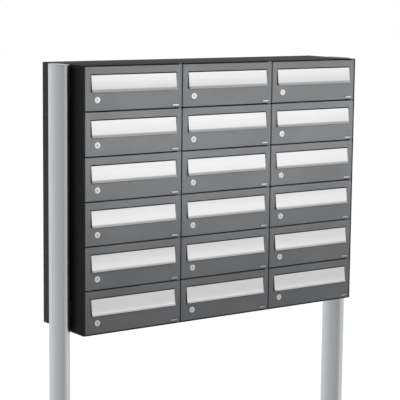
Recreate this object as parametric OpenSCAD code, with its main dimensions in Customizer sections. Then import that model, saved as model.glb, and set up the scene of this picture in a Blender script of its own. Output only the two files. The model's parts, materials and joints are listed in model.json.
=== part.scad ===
// Cluster mailbox unit: three columns of six letter boxes in one casing,
// carried between two oval posts. The front faces -Y, +X is to the right of
// someone standing in front of it, and the origin is on the ground at the middle.

/* [Boxes] */
// Number of columns of boxes
columns = 3; // [1:1:3]
// Number of rows of boxes
rows = 6; // [1:1:6]
// Distance from one column of boxes to the next
pitch_x = 390; // [380:5:420]
// Distance from one row of boxes to the next
pitch_z = 150; // [150:5:180]
// Gap between two neighbouring doors
door_gap = 5; // [4:0.5:6]

/* [Casing] */
// Height of the roof above the ground
roof_z = 1600; // [1400:10:1700]
// Depth from the door faces to the back panel
depth = 270; // [240:10:400]
// Thickness of the casing sheet
sheet = 1.5; // [1:0.25:2]
// Distance from the outermost column line to the outer face of the side panel
side_margin = 3; // [2.5:0.5:6]
// Distance from the outermost row line to the outer face of the roof or floor
roof_margin = 2; // [2:0.5:4]
// How far behind the door faces the shelves and partitions start
shelf_setback = 18; // [18:1:24]
// Width of the front edge that each side panel turns in beside the doors
side_return = 2.5; // [1.5:0.5:2.5]

/* [Doors] */
// Thickness of the door sheet
door_sheet = 1.2; // [1:0.1:1.5]
// Depth of the door's folded edges
door_depth = 14; // [12:1:15]
// Distance of the hinge axis from the door's right edge and from its face
hinge_inset = 5; // [4.5:0.5:6]
// Radius of the hinge rod
rod_r = 2.5; // [2:0.25:3]

/* [Flaps] */
// Width of the flap
flap_w = 338; // [300:2:340]
// Distance from the row line down to the flap's top edge
flap_top = 30; // [26:1:34]
// Height of the flap's face above its finger lip
flap_face_h = 47; // [40:1:50]
// Thickness of the flap
flap_t = 1.6; // [1.2:0.2:2]
// How far the tip of the finger lip stands out from the door
lip_out = 9; // [8.5:0.5:10]
// Space between the flap's ends and the door
flap_side_gap = 2.5; // [1.5:0.5:3]
// How far the aperture reaches down behind the finger lip
lip_cover = 7; // [6.5:0.5:7]

/* [Locks] */
// Distance of the lock from the column line
lock_x = 49; // [45:1:60]
// Distance of the lock below the row line
lock_drop = 111.5; // [108:0.5:114]
// Radius of the lock's front collar
lock_collar_r = 10.5; // [9:0.5:12]
// Radius of the turning plug
plug_r = 6.5; // [5:0.5:7]
// Length of the cam from the lock's axis to its tip
cam_len = 34; // [30:1:35]

/* [Posts] */
// Width of the oval post, left to right
post_w = 44; // [40:2:50]
// Depth of the oval post, front to back
post_d = 108; // [100:2:120]
// Radius of the post's front and back ends
post_end_r = 16; // [14:1:18]
// Wall thickness of the post
post_wall = 2.5; // [2:0.5:4]
// Space between the post and the side panel, filled by the saddles
post_gap = 2; // [2:0.5:6]
// Distance of the post's middle in front of the casing's middle
post_forward = 15; // [5:5:15]

/* [Base plates] */
// Width of a base plate, left to right
base_w = 160; // [140:10:200]
// Depth of a base plate, front to back
base_d = 240; // [200:10:260]
// Thickness of a base plate
base_t = 10; // [8:1:12]
// Distance between the anchor holes, left to right
anchor_x = 120; // [110:5:150]
// Distance between the anchor holes, front to back
anchor_y = 190; // [170:5:210]
// Radius of an anchor hole
anchor_r = 7; // [6:0.5:9]

/* [Hidden] */
$fn = 48;
cols = [1:columns];
all_rows = [1:rows];

// Radial clearance of every shaft in its bore
run = 0.05;
// Space between two pieces that are fastened face to face, so that each stays a solid of its own
seam = 0.05;
// Space between the flap and the buffers that it comes to rest on
ease = 0.3;
// How far a cutting shape reaches past the faces that it cuts
cut = 1;
// The casing's front edges stay this far behind the door faces
panel_recess = 0.5;

front_y = (lip_out - depth) / 2;
back_y = front_y + depth;
top_line = roof_z - roof_margin;
case_w = columns * pitch_x + 2 * side_margin;
case_h = rows * pitch_z + 2 * roof_margin;
floor_z = roof_z - case_h;
inner_w = case_w - 2 * sheet;
panel_front_y = front_y + panel_recess;
shelf_y = front_y + shelf_setback;
cavity_back_y = back_y - sheet;

hinge_x = pitch_x - door_gap / 2 - hinge_inset;
lug_half = 6;
lug_t = 2;
lug_end_t = 1.75;

// The aperture that the flap closes, from the column line and the row line
aperture_w = flap_w + 2 * flap_side_gap;
aperture_x = (pitch_x - aperture_w) / 2;
aperture_rise = 3.5;
aperture_top = flap_top - aperture_rise;
aperture_h = aperture_rise + flap_face_h + lip_cover;

// The flap's pin, measured back from the door face and down from the row line
pin_r = 1.5;
pin_y = 4;
knuckle_r = 3.2;
pin_drop = flap_top + knuckle_r;
bracket_t = 1.5;
bracket_x = aperture_x - 0.3;
bracket_depth = 9;
bracket_half = 6;

// The flap's face starts just behind the door face and leans out by face_lean.
// Its lip starts at a crease, turned further out by lip_kick, and curves out to lip_out.
face_y = 0.3;
face_lean = 4.8;
lean = atan(face_lean / flap_face_h);
bend = [face_y - face_lean, -flap_top - flap_face_h];
lip_h = 7.5;
lip_kick = 16;
lip_start = lean + lip_kick;
lip_run = lip_out + bend[0];
lip_r = (lip_run * lip_run + lip_h * lip_h) / (2 * (lip_run * cos(lip_start) - lip_h * sin(lip_start)));
lip_end = asin(sin(lip_start) + lip_h / lip_r);

// Rubber buffers, on two tabs at the aperture's lower edge, fill the space behind the lip
tab_w = 12;
buffer_r = 3;
buffer_t = face_lean - face_y - flap_t - ease;
buffer_z = bend[1] - buffer_r - 0.8;
buffer_inset = 30;
buffer_xs = [aperture_x + buffer_inset, pitch_x - aperture_x - buffer_inset];

barrel_r = 8;
barrel_len = 18;
collar_t = 2.4;
plug_proud = 0.4;
plug_len = 21;
keyway_w = 2.2;
keyway_h = 8;
keyway_d = 4;
cam_t = 2.5;
cam_w = 14;
cam_back = plug_len + cam_t;
cam_screw_r = 3;
cam_head_r = 5;
cam_head_t = 3;
nut_r = 12;
nut_t = 4;
keep_len = 22;
keep_h = 44;

plate_w = 28;
plate_h = 8;
plate_t = 0.8;
plate_right = 11;
plate_up = 4.5;

post_x = case_w / 2 + post_gap + post_w / 2;
post_y = (front_y + back_y) / 2 - post_forward;
cap_t = 4;
saddle_h = 60;
saddle_w = 60;
saddle_t = 8;
saddle_bolt_y = 18;
bolt_r = 4;
bolt_len = 18;
bolt_head_r = 6.5;
bolt_head_t = 5;
saddle_zs = [top_line - pitch_z / 2, top_line - (rows - 0.5) * pitch_z];

rivet_r = 1.6;
rivet_head_r = 3.5;
rivet_head_t = 1.2;
rivet_back = 30;
rivet_up = 13;
rivet_down = 15;

function col_x(c) = -columns * pitch_x / 2 + (c - 1) * pitch_x;
function row_z(r) = top_line - (r - 1) * pitch_z;
function left_wall(c) = c == 1 ? -inner_w / 2 : col_x(c) + sheet / 2;
function right_wall(c) = c == columns ? inner_w / 2 : col_x(c + 1) - sheet / 2;
function box_name(kind, r, c) = str(kind, "_r", r, "c", c);
function box_names(kind) = [for (r = all_rows, c = cols) box_name(kind, r, c)];

// A block between two corners
module block(low, high) {
    translate(low) cube(high - low);
}

// A cylinder along Y from y0 to y1
module rod_y(x, z, y0, y1, r) {
    translate([x, y0, z]) rotate([-90, 0, 0]) cylinder(r = r, h = y1 - y0);
}

// A cylinder along X from x0 to x1
module rod_x(y, z, x0, x1, r) {
    translate([x0, y, z]) rotate([0, 90, 0]) cylinder(r = r, h = x1 - x0);
}

// Puts its children at one box: x from the column line, y from the door face, z from the row line
module at_box(r, c) {
    translate([col_x(c), front_y, row_z(r)]) children();
}

// The post's section: two wide arcs for the sides and two round ends, tangent to each other
module post_section(inset) {
    half_w = post_w / 2;
    end_y = post_d / 2 - post_end_r;
    side_r = (end_y * end_y + half_w * half_w - post_end_r * post_end_r) / (2 * (half_w - post_end_r));
    meet_y = end_y * (side_r - inset) / (side_r - post_end_r);
    intersection() {
        translate([half_w - side_r, 0]) circle(r = side_r - inset, $fn = 240);
        translate([side_r - half_w, 0]) circle(r = side_r - inset, $fn = 240);
        square([post_w, 2 * meet_y], center = true);
    }
    for (side = [-1, 1])
        translate([0, side * end_y]) circle(r = post_end_r - inset, $fn = 64);
}

// Casing: roof, floor, two sides and the back, as flat sheets
module casing() {
    inside = inner_w / 2 - seam;
    color("#222224") {
        block([-case_w / 2, panel_front_y, roof_z - sheet], [case_w / 2, back_y, roof_z]);
        block([-inside, panel_front_y, floor_z], [inside, back_y, floor_z + sheet]);
        block([-inside, cavity_back_y, floor_z + sheet + seam], [inside, back_y, roof_z - sheet - seam]);
        for (side = [-1, 1]) side_panel(side);
    }
}

// A side panel, with its front edge turned in and holes for its bolts and rivets
module side_panel(side) {
    face_x = side * case_w / 2;
    panel_top = roof_z - sheet - seam;
    difference() {
        union() {
            block([min(face_x, side * inner_w / 2), panel_front_y, floor_z],
                  [max(face_x, side * inner_w / 2), back_y, panel_top]);
            block([min(face_x, face_x - side * side_return), panel_front_y, floor_z + sheet + seam],
                  [max(face_x, face_x - side * side_return), panel_front_y + sheet, panel_top]);
        }
        for (z = saddle_zs, y = [-saddle_bolt_y, saddle_bolt_y])
            rod_x(post_y + y, z, face_x - sheet - cut, face_x + sheet + cut, bolt_r + run);
        for (z = rivet_zs())
            rod_x(front_y + rivet_back, z, face_x - sheet - cut, face_x + sheet + cut, rivet_r + run);
    }
}

// Heights of the rivets in a side panel: one near the roof and one above each shelf and the floor
function rivet_zs() = concat([roof_z - rivet_down], [for (r = all_rows) row_z(r + 1) + rivet_up]);

// Partitions between the columns and shelves between the rows
module dividers() {
    color("#2c2c2e") {
        if (columns > 1)
            for (c = [2:columns])
                block([col_x(c) - sheet / 2, shelf_y, floor_z + sheet],
                      [col_x(c) + sheet / 2, cavity_back_y, roof_z - sheet]);
        if (rows > 1)
            for (r = [2:rows], c = cols)
                block([left_wall(c) + seam, shelf_y, row_z(r) - sheet / 2],
                      [right_wall(c) - seam, cavity_back_y, row_z(r) + sheet / 2]);
    }
}

// One rod per column, held by a lug in every gap between two doors
module hinge_rods() {
    color("#9a9c9e")
        for (c = cols) {
            translate([col_x(c) + hinge_x, front_y + hinge_inset, floor_z + sheet])
                cylinder(r = rod_r, h = case_h - 2 * sheet);
            for (r = [1:rows + 1]) hinge_lug(r, c);
        }
}

module hinge_lug(r, c) {
    x = col_x(c) + hinge_x;
    low = r == rows + 1 ? floor_z + sheet : r == 1 ? roof_z - sheet - lug_end_t : row_z(r) - lug_t / 2;
    high = r == 1 ? roof_z - sheet : r == rows + 1 ? low + lug_end_t : low + lug_t;
    difference() {
        block([x - lug_half, panel_front_y, low], [x + lug_half, shelf_y, high]);
        translate([x, front_y + hinge_inset, low - cut]) cylinder(r = rod_r + run, h = lug_t + 2 * cut);
    }
}

// One plate per box behind the door's left edge, which the turned cam reaches behind
module lock_keeps() {
    color("#8c8e90")
        for (r = all_rows, c = cols)
            translate([left_wall(c), shelf_y, row_z(r) - lock_drop - keep_h / 2])
                cube([keep_len, sheet, keep_h]);
}

// Posts: oval tubes on base plates, with caps, and the saddles that carry the casing
module posts() {
    color("#c4c8cc")
        for (side = [-1, 1]) {
            translate([side * post_x, post_y, 0]) post_tube(side);
            translate([side * post_x, post_y, 0]) base_plate();
            translate([side * post_x, post_y, roof_z - cap_t]) linear_extrude(cap_t) post_section(0);
            for (z = saddle_zs) saddle(side, z);
        }
}

module post_tube(side) {
    difference() {
        translate([0, 0, base_t + seam]) linear_extrude(roof_z - cap_t - base_t - 2 * seam)
            difference() {
                post_section(0);
                post_section(post_wall);
            }
        for (z = saddle_zs, y = [-saddle_bolt_y, saddle_bolt_y])
            rod_x(y, z, side < 0 ? 0 : -post_w, side < 0 ? post_w : 0, bolt_r + run);
    }
}

module base_plate() {
    difference() {
        translate([-base_w / 2, -base_d / 2, 0]) cube([base_w, base_d, base_t]);
        for (x = [-anchor_x / 2, anchor_x / 2], y = [-anchor_y / 2, anchor_y / 2])
            translate([x, y, -cut]) cylinder(r = anchor_r, h = base_t + 2 * cut);
    }
}

// A block between a side panel and its post, hollowed to the post's side
module saddle(side, z) {
    face_x = side * case_w / 2;
    difference() {
        translate([side < 0 ? face_x - saddle_t : face_x, post_y - saddle_w / 2, z - saddle_h / 2])
            cube([saddle_t, saddle_w, saddle_h]);
        translate([side * post_x, post_y, z - saddle_h]) linear_extrude(2 * saddle_h) post_section(-seam);
        for (y = [-saddle_bolt_y, saddle_bolt_y])
            rod_x(post_y + y, z, face_x - 2 * saddle_t, face_x + 2 * saddle_t, bolt_r + run);
    }
}

// Saddle bolts with their heads inside the casing, and the rivets of the side panels
module fasteners() {
    color("#b0b2b4")
        for (side = [-1, 1]) {
            for (z = saddle_zs, y = [-saddle_bolt_y, saddle_bolt_y])
                translate([side * inner_w / 2, post_y + y, z]) rotate([0, side * 90, 0]) saddle_bolt();
            for (z = rivet_zs())
                translate([side * case_w / 2, front_y + rivet_back, z]) rotate([0, side * 90, 0]) rivet();
        }
}

// A bolt along +Z, with the underside of its head at z = 0
module saddle_bolt() {
    cylinder(r = bolt_r, h = bolt_len);
    translate([0, 0, -bolt_head_t]) cylinder(r = bolt_head_r, h = bolt_head_t);
}

// A rivet along +Z, with the underside of its head at z = 0
module rivet() {
    cylinder(r = rivet_head_r, h = rivet_head_t);
    translate([0, 0, -sheet]) cylinder(r = rivet_r, h = sheet);
}

// Door: folded pan, the fixed half of the lock, the flap's pin and brackets, buffers and blank plate
module door() {
    color("#808385") {
        door_pan();
        lock_housing();
        lock_nut();
        blank_plate();
    }
    color("#9a9c9e") {
        rod_x(pin_y, -pin_drop, bracket_x - bracket_t - 1, pitch_x - bracket_x + bracket_t + 1, pin_r);
        for (x = [bracket_x - bracket_t, pitch_x - bracket_x]) pin_bracket(x);
    }
    color("#303030")
        for (x = buffer_xs) rod_y(x, buffer_z, -buffer_t, -seam, buffer_r);
}

module door_pan() {
    edge = door_gap / 2;
    difference() {
        block([edge, 0, edge - pitch_z], [pitch_x - edge, door_depth, -edge]);
        block([edge + door_sheet, door_sheet, edge + door_sheet - pitch_z],
              [pitch_x - edge - door_sheet, door_depth + cut, -edge - door_sheet]);
        aperture();
        rod_y(lock_x, -lock_drop, -cut, door_sheet + cut, barrel_r + seam);
        translate([hinge_x, hinge_inset, -pitch_z]) cylinder(r = rod_r + run, h = pitch_z);
    }
}

// The space cut out for the flap, with the two tabs that carry the buffers left standing
module aperture() {
    low = -aperture_top - aperture_h;
    difference() {
        block([aperture_x, -cut, low], [aperture_x + aperture_w, door_sheet + cut, -aperture_top]);
        for (x = buffer_xs)
            block([x - tab_w / 2, -2 * cut, low - cut], [x + tab_w / 2, door_sheet + 2 * cut, bend[1]]);
    }
}

module pin_bracket(x) {
    difference() {
        block([x, door_sheet + seam, -pin_drop - bracket_half],
              [x + bracket_t, bracket_depth, -pin_drop + bracket_half]);
        rod_x(pin_y, -pin_drop, x - cut, x + bracket_t + cut, pin_r + seam);
    }
}

// Lock housing: a collar on the door's face and a barrel through it, bored for the plug
module lock_housing() {
    difference() {
        union() {
            rod_y(lock_x, -lock_drop, -collar_t, -seam, lock_collar_r);
            rod_y(lock_x, -lock_drop, -collar_t, barrel_len, barrel_r);
        }
        rod_y(lock_x, -lock_drop, -collar_t - cut, barrel_len + cut, plug_r + run);
    }
}

module lock_nut() {
    difference() {
        translate([lock_x, door_sheet + seam, -lock_drop])
            rotate([-90, 0, 0])
                cylinder(r = nut_r, h = nut_t, $fn = 6);
        rod_y(lock_x, -lock_drop, 0, door_sheet + nut_t + cut, barrel_r + seam);
    }
}

module blank_plate() {
    right = pitch_x - door_gap / 2 - plate_right;
    low = door_gap / 2 + plate_up - pitch_z;
    block([right - plate_w, -plate_t, low], [right, -seam, low + plate_h]);
}

// Flap: one extruded section along X, with the knuckle for the pin behind its top edge
module flap() {
    color("#e6e4e6")
        translate([aperture_x + flap_side_gap, 0, 0])
            rotate([90, 0, 90])
                linear_extrude(flap_w) flap_section();
}

// Section of the flap: first axis is depth behind the door face, second is height from the row line
module flap_section() {
    back = flap_t * [cos(lean), -sin(lean)];
    lip_back = flap_t * [cos(lip_start), -sin(lip_start)];
    middle = lean + lip_kick / 2;
    crease = flap_t / cos(lip_kick / 2) * [cos(middle), -sin(middle)];
    top = [face_y, -flap_top];
    difference() {
        union() {
            polygon([top, bend, bend + lip_back, bend + crease, bend + back, top + back]);
            translate([pin_y, -pin_drop]) circle(r = knuckle_r);
            translate(bend - lip_r * [cos(lip_start), -sin(lip_start)]) lip_arc();
        }
        translate([pin_y, -pin_drop]) circle(r = pin_r + run);
    }
}

// The part of a ring between the end of the face and the tip of the lip, about the arc's centre
module lip_arc() {
    reach = 2 * lip_r;
    intersection() {
        difference() {
            circle(r = lip_r + flap_t);
            circle(r = lip_r);
        }
        polygon([[0, 0], reach * [cos(lip_start), -sin(lip_start)],
                 reach * [cos(lip_end), -sin(lip_end)]]);
    }
}

// Lock plug with its keyway, the cam on its back end and the screw that holds the cam
module lock() {
    color("#d0d2d4") {
        difference() {
            rod_y(lock_x, -lock_drop, -collar_t - plug_proud, plug_len, plug_r);
            block([lock_x - keyway_w / 2, -collar_t - plug_proud - cut, -lock_drop - keyway_h / 2],
                  [lock_x + keyway_w / 2, -collar_t - plug_proud + keyway_d, -lock_drop + keyway_h / 2]);
        }
        cam();
        rod_y(lock_x, -lock_drop, plug_len + seam, cam_back + cam_head_t, cam_screw_r);
        rod_y(lock_x, -lock_drop, cam_back + seam, cam_back + cam_head_t, cam_head_r);
    }
}

// The cam hangs straight down from the lock's axis when the lock is open
module cam() {
    difference() {
        union() {
            rod_y(lock_x, -lock_drop, plug_len + seam, cam_back, cam_w / 2);
            block([lock_x - cam_w / 2, plug_len + seam, -lock_drop - cam_len],
                  [lock_x + cam_w / 2, cam_back, -lock_drop]);
        }
        rod_y(lock_x, -lock_drop, plug_len - cut, cam_back + cut, cam_screw_r + seam);
    }
}

casing();
dividers();
hinge_rods();
lock_keeps();
posts();
fasteners();
for (r = all_rows, c = cols) {
    at_box(r, c) door();
    at_box(r, c) flap();
    at_box(r, c) lock();
}
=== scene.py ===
"""Cluster mailbox unit: the visible pieces and their finishes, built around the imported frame.

Eighteen letter boxes sit in one dark casing between two oval aluminium posts. Every box has a
grey folded door, a lifting aluminium flap, a cam lock and a small blank plate. Lengths are in
metres. A box's own pieces are made once, in the box's coordinates (x from the column line,
y back from the door face, z up from the row line), and then copied to all of its places.
"""

import json
import math

import bmesh
import bpy
from mathutils import Matrix, Vector

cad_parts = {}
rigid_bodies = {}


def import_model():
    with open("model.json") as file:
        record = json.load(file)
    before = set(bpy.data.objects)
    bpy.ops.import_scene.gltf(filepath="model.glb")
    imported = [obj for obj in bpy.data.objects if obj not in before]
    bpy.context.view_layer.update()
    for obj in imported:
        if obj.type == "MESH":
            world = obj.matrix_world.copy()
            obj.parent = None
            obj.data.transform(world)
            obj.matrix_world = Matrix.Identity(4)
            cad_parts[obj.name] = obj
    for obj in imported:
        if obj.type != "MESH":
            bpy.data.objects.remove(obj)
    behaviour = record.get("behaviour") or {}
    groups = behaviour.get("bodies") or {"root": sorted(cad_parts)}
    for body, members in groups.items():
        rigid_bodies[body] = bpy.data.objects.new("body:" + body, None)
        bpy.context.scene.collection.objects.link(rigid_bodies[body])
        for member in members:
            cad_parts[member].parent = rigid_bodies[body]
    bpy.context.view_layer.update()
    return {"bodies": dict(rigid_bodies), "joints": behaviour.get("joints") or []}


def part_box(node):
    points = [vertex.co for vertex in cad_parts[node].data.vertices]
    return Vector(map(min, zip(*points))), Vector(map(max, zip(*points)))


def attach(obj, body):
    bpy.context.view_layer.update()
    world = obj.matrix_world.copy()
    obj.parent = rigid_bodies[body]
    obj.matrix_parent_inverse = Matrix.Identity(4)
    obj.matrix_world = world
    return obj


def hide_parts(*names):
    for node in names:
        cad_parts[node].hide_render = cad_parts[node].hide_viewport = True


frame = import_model()
MM = 0.001

# ---------------------------------------------------------------- sizes read from the frame

joints = {joint["name"]: joint for joint in frame["joints"]}
boxes = sorted(name[len("door_"):] for name in frame["bodies"] if name.startswith("door_"))
columns = max(int(box.split("c")[1]) for box in boxes)
rows = max(int(box.split("c")[0][1:]) for box in boxes)

casing_low, casing_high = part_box("casing")
posts_low, posts_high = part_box("posts")
door_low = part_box("door_r1c1")[0]

SHEET = 1.5 * MM
SIDE_RETURN = 2.5 * MM
DOOR_GAP = 5 * MM
DOOR_PROUD = 0.5 * MM
front_y = casing_low.y - DOOR_PROUD
back_y = casing_high.y
shelf_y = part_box("dividers")[0].y
pitch_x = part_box("door_r1c2")[0].x - door_low.x
pitch_z = door_low.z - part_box("door_r2c1")[0].z


def box_origin(box):
    """The corner where a box's column line and row line meet, on the plane of the door faces."""
    low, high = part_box("door_" + box)
    return Vector((low.x - DOOR_GAP / 2, front_y, high.z + DOOR_GAP / 2))


first = box_origin("r1c1")


def in_box(joint_name):
    """A joint's anchor in the coordinates of the first box."""
    return Vector(joints[joint_name]["pos_m"]) - first


hinge = in_box("door_r1c1_hinge")
pin = in_box("flap_r1c1_hinge")
lock = in_box("lock_r1c1_turn")

# ---------------------------------------------------------------- sizes of the pieces

# RUN is the clearance round a pin, rod or barrel, and between pieces that only lie together
RUN = 0.05 * MM

# Doors, hinge rods and the rods' lugs
DOOR_SHEET = 1.2 * MM
DOOR_DEPTH = 14 * MM
FOLD_R = 1.0 * MM
ROD_R = 2.5 * MM
LUG_HALF = 6 * MM
LUG_R = 4.5 * MM
LUG_T = 2 * MM
END_LUG_T = 1.75 * MM

# Flaps and their pins, the apertures, buffers and blank plates
FLAP_W = 338 * MM
FLAP_TOP = 30 * MM
FLAP_FACE_H = 47 * MM
FLAP_T = 1.6 * MM
LIP_OUT = 9 * MM
LIP_H = 7.5 * MM
LIP_KICK = math.radians(16)
FACE_Y = 0.3 * MM
FACE_LEAN = 4.8 * MM
KNUCKLE_R = 3.2 * MM
PIN_R = 1.5 * MM
BRACKET_GAP = 0.3 * MM
BRACKET_HALF = 6 * MM
BRACKET_DEPTH = 9 * MM
APERTURE_GAP = 2.5 * MM
APERTURE_RISE = 3.5 * MM
LIP_COVER = 7 * MM
TAB_W = 12 * MM
BUFFER_R = 3 * MM
BUFFER_INSET = 30 * MM
BUFFER_EASE = 0.3 * MM
BUFFER_DOWN = 0.8 * MM
TAG_W = 28 * MM
TAG_H = 8 * MM
TAG_T = 0.8 * MM
TAG_RIGHT = 11 * MM
TAG_UP = 4.5 * MM

# Locks, their cams and the plates that the cams turn behind
COLLAR_R = 10.5 * MM
COLLAR_T = 2.4 * MM
BARREL_R = 8 * MM
BARREL_LEN = 18 * MM
PLUG_R = 6.5 * MM
PLUG_LEN = 21 * MM
CAM_LEN = 34 * MM
CAM_W = 14 * MM
CAM_T = 2.5 * MM
NUT_R = 12 * MM
NUT_T = 4 * MM
KEYWAY_W = 2.2 * MM
KEYWAY_H = 8 * MM
KEYWAY_DEEP = 4 * MM
PLUG_PROUD = 0.4 * MM
SCREW_R = 3 * MM
SCREW_HEAD_R = 5 * MM
SCREW_HEAD_H = 3 * MM
KEEP_W = 22 * MM
KEEP_HALF = 22 * MM

# Posts, base plates, saddles and bolts, and the rivets on the casing's sides
POST_W = 44 * MM
POST_D = 108 * MM
POST_END_R = 16 * MM
POST_WALL = 2.5 * MM
BASE_T = 10 * MM
CAP_T = 4 * MM
POST_GAP = 2 * MM
BASE_W = 160 * MM
BASE_CORNER = 8 * MM
SADDLE_HALF = 30 * MM
BOLT_HALF = 18 * MM
BOLT_HEAD_R = 6.5 * MM
BOLT_HEAD_H = 5 * MM
RIVET_BACK = 30 * MM
RIVET_UP = 13 * MM
RIVET_DOWN = 15 * MM
ANCHOR_X = 120 * MM
ANCHOR_Y = 190 * MM
ANCHOR_R = 7 * MM

aperture_x = (pitch_x - FLAP_W) / 2 - APERTURE_GAP
aperture_w = FLAP_W + 2 * APERTURE_GAP
aperture_top = -FLAP_TOP + APERTURE_RISE
bend_z = -FLAP_TOP - FLAP_FACE_H
aperture_low = bend_z - LIP_COVER
buffer_xs = (aperture_x + BUFFER_INSET, aperture_x + aperture_w - BUFFER_INSET)

# The posts' oval: two wide side arcs and two round ends, and where the posts stand
post_half = POST_W / 2
post_end = POST_D / 2 - POST_END_R
post_side_r = (post_end**2 + post_half**2 - POST_END_R**2) / (2 * (post_half - POST_END_R))
post_x = casing_high.x + POST_GAP + post_half
post_y = (posts_low.y + posts_high.y) / 2

# ---------------------------------------------------------------- node trees


class Field:
    """One value in a node tree. Arithmetic on it adds the Math nodes that work it out."""

    def __init__(self, tree, socket):
        self.tree = tree
        self.socket = socket

    def math(self, operation, *others):
        node = self.tree.nodes.new("ShaderNodeMath")
        node.operation = operation
        for place, value in enumerate((self, *others)):
            feed(self.tree, value, node.inputs[place])
        return Field(self.tree, node.outputs[0])

    def __add__(self, other):
        return self.math("ADD", other)

    __radd__ = __add__

    def __sub__(self, other):
        return self.math("SUBTRACT", other)

    def __rsub__(self, other):
        return self.math("MULTIPLY", -1).math("ADD", other)

    def __mul__(self, other):
        return self.math("MULTIPLY", other)

    __rmul__ = __mul__

    def __pow__(self, other):
        return self.math("POWER", other)

    def ramp(self, low, high, to_low=0.0, to_high=1.0):
        """The value carried from low..high to to_low..to_high, smoothly and no further."""
        node = self.tree.nodes.new("ShaderNodeMapRange")
        node.interpolation_type = "SMOOTHSTEP"
        for name, value in (
            ("Value", self), ("From Min", low), ("From Max", high), ("To Min", to_low), ("To Max", to_high)
        ):
            feed(self.tree, value, node.inputs[name])
        return Field(self.tree, node.outputs[0])


def feed(tree, value, socket):
    """Links a value to a socket, or sets the socket if the value is a plain number or colour."""
    if isinstance(value, Field):
        tree.links.new(value.socket, socket)
    else:
        socket.default_value = value


def add_node(tree, kind, settings=None, inputs=None, output=0):
    """A new node: its settings first, then the values or links of its sockets, by name or place."""
    node = tree.nodes.new(kind)
    for name, value in (settings or {}).items():
        setattr(node, name, value)
    for name, value in (inputs or {}).items():
        feed(tree, value, node.inputs[name])
    return Field(tree, node.outputs[output])


class Finish:
    """A material: a Principled shader, and the patterns that vary its colour, gloss and relief."""

    def __init__(self, name, **surface):
        self.material = bpy.data.materials.new(name)
        self.material.use_nodes = True
        self.tree = self.material.node_tree
        self.shader = self.tree.nodes["Principled BSDF"]
        for label, value in surface.items():
            self.shader.inputs[label.replace("_", " ").title()].default_value = value
        self.place = add_node(self.tree, "ShaderNodeTexCoord", output="Object")

    def node(self, kind, settings=None, inputs=None, output=0):
        return add_node(self.tree, kind, settings, inputs, output)

    def stretched(self, x, y, z):
        """The piece's coordinates, scaled along each axis."""
        return self.node("ShaderNodeMapping", {}, {"Vector": self.place, "Scale": (x, y, z)})

    def noise(self, scale, detail=2.0, at=None, roughness=0.5):
        return self.node(
            "ShaderNodeTexNoise",
            {},
            {"Vector": at or self.place, "Scale": scale, "Detail": detail, "Roughness": roughness},
        )

    def axis(self, name):
        """One coordinate of the piece, in metres."""
        return self.node("ShaderNodeSeparateXYZ", {}, {"Vector": self.place}, output=name)

    def facing_up(self):
        """How far the surface faces up: 1 on a roof, 0 on a wall."""
        normal = self.node("ShaderNodeNewGeometry", output="Normal")
        return self.node("ShaderNodeSeparateXYZ", {}, {"Vector": normal}, output="Z")

    def blend(self, share, one, other):
        """A colour between one and other."""
        return self.node(
            "ShaderNodeMix",
            {"data_type": "RGBA"},
            {"Factor": share, "A": one, "B": other},
            output="Result",
        )

    def set(self, label, value):
        feed(self.tree, value, self.shader.inputs[label])

    def relief(self, height, depth, strength=1.0):
        """Raises the surface by depth metres where height is 1."""
        bump = self.node("ShaderNodeBump", {}, {"Height": height, "Distance": depth, "Strength": strength})
        self.set("Normal", bump)


# ---------------------------------------------------------------- finishes


def grey(value, tint=(1.0, 1.0, 1.0)):
    return (value * tint[0], value * tint[1], value * tint[2], 1.0)


def scaled(colour, share):
    """A darker or lighter shade of a colour."""
    return tuple(c * share for c in colour[:3]) + (1.0,)


def powder_coat(name, colour, dusty, gloss, grain, shine=0.5):
    """Baked powder paint: a fine orange peel, faint cloudiness, dust where it faces up."""
    paint = Finish(name, roughness=gloss)
    paint.set("Specular IOR Level", shine)
    peel = paint.noise(grain, 2.0)
    pimples = paint.noise(grain * 3.1, 1.0)
    cloud = paint.noise(5.0, 3.0)
    speck = paint.noise(140.0, 2.0)
    dust = paint.facing_up().ramp(0.35, 0.95) * speck.ramp(0.35, 0.75, 0.35, 0.9)
    tone = cloud.ramp(0.3, 0.7, 0.0, 1.0)
    painted = paint.blend(tone, scaled(colour, 0.93), scaled(colour, 1.06))
    paint.set("Base Color", paint.blend(dust * dusty, painted, grey(0.30, (1.0, 0.97, 0.92))))
    paint.set("Roughness", speck.ramp(0.3, 0.7, gloss - 0.05, gloss + 0.05) + dust * 0.25)
    paint.relief(peel * 0.7 + pimples * 0.3, 0.00006)
    return paint.material


def drawn_aluminium(name, colour, along, gloss, lines=2600.0):
    """Anodised extrusion: hairlines along one axis, soft streaks and a satin sheen."""
    metal = Finish(name, metallic=1.0, roughness=gloss)
    fine = {"X": (6.0, lines, lines), "Z": (lines, lines, 6.0)}[along]
    broad = {"X": (0.8, 160.0, 160.0), "Z": (160.0, 160.0, 0.8)}[along]
    hair = metal.noise(1.0, 2.0, metal.stretched(*fine))
    streak = metal.noise(1.0, 3.0, metal.stretched(*broad))
    cloud = metal.noise(9.0, 2.0)
    tone = streak.ramp(0.3, 0.7) * 0.6 + cloud * 0.4
    metal.set("Base Color", metal.blend(tone, scaled(colour, 0.94), colour))
    metal.set("Roughness", hair.ramp(0.2, 0.8, gloss - 0.06, gloss + 0.06) + streak * 0.04)
    metal.relief(hair * 0.6 + streak * 0.4, 0.00002)
    return metal.material


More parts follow.
